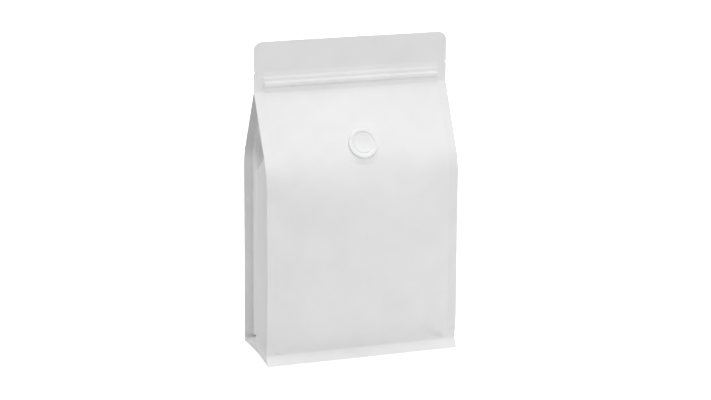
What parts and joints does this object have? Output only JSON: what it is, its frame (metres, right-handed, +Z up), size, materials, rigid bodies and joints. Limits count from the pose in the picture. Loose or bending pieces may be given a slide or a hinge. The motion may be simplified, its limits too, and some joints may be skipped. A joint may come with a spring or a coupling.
{
  "type": "flat bottom coffee bag",
  "caption": "Filled, heat-sealed flat bottom pouch with folded side gussets, a flat top band, a press-to-close zipper under the front film and a round degassing valve.",
  "frame": {"origin": "middle of the base, on the surface the bag stands on", "axes": "+Z up to the top edge, -Y out of the front panel with the valve, +X to the right as seen from the front"},
  "size_m": [0.14, 0.0688, 0.2233],
  "materials": {
    "matte_film": "matt white laminated film with a very faint sheen",
    "valve_plastic": "smooth white moulded plastic, satin"
  },
  "bodies": {
    "root": {"pouch": "matte_film", "degassing_valve": "valve_plastic"}
  },
  "joints": []
}
